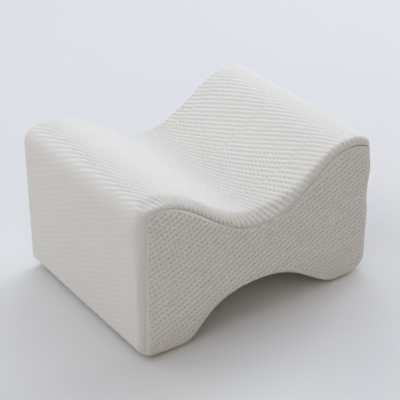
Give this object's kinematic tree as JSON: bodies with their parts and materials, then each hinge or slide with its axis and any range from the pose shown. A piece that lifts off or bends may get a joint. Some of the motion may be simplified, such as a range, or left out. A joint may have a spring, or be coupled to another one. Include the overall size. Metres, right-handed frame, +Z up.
{
  "type": "knee pillow",
  "caption": "Firm hourglass-shaped knee pillow with a saddle on top, an arch below, a knitted band and sewn end panels.",
  "frame": {"origin": "under the middle of the pillow, on the surface that its two feet rest on", "axes": "+X across the two lobes, towards the lower lobe; +Y along the depth, from the front panel to the back panel; +Z up"},
  "size_m": [0.252, 0.1868, 0.1495],
  "materials": {
    "band_knit": "dimpled off-white knit",
    "panel_knit": "dimpled off-white knit"
  },
  "bodies": {
    "root": {"band": "band_knit", "front_panel": "panel_knit", "back_panel": "panel_knit"}
  },
  "joints": []
}
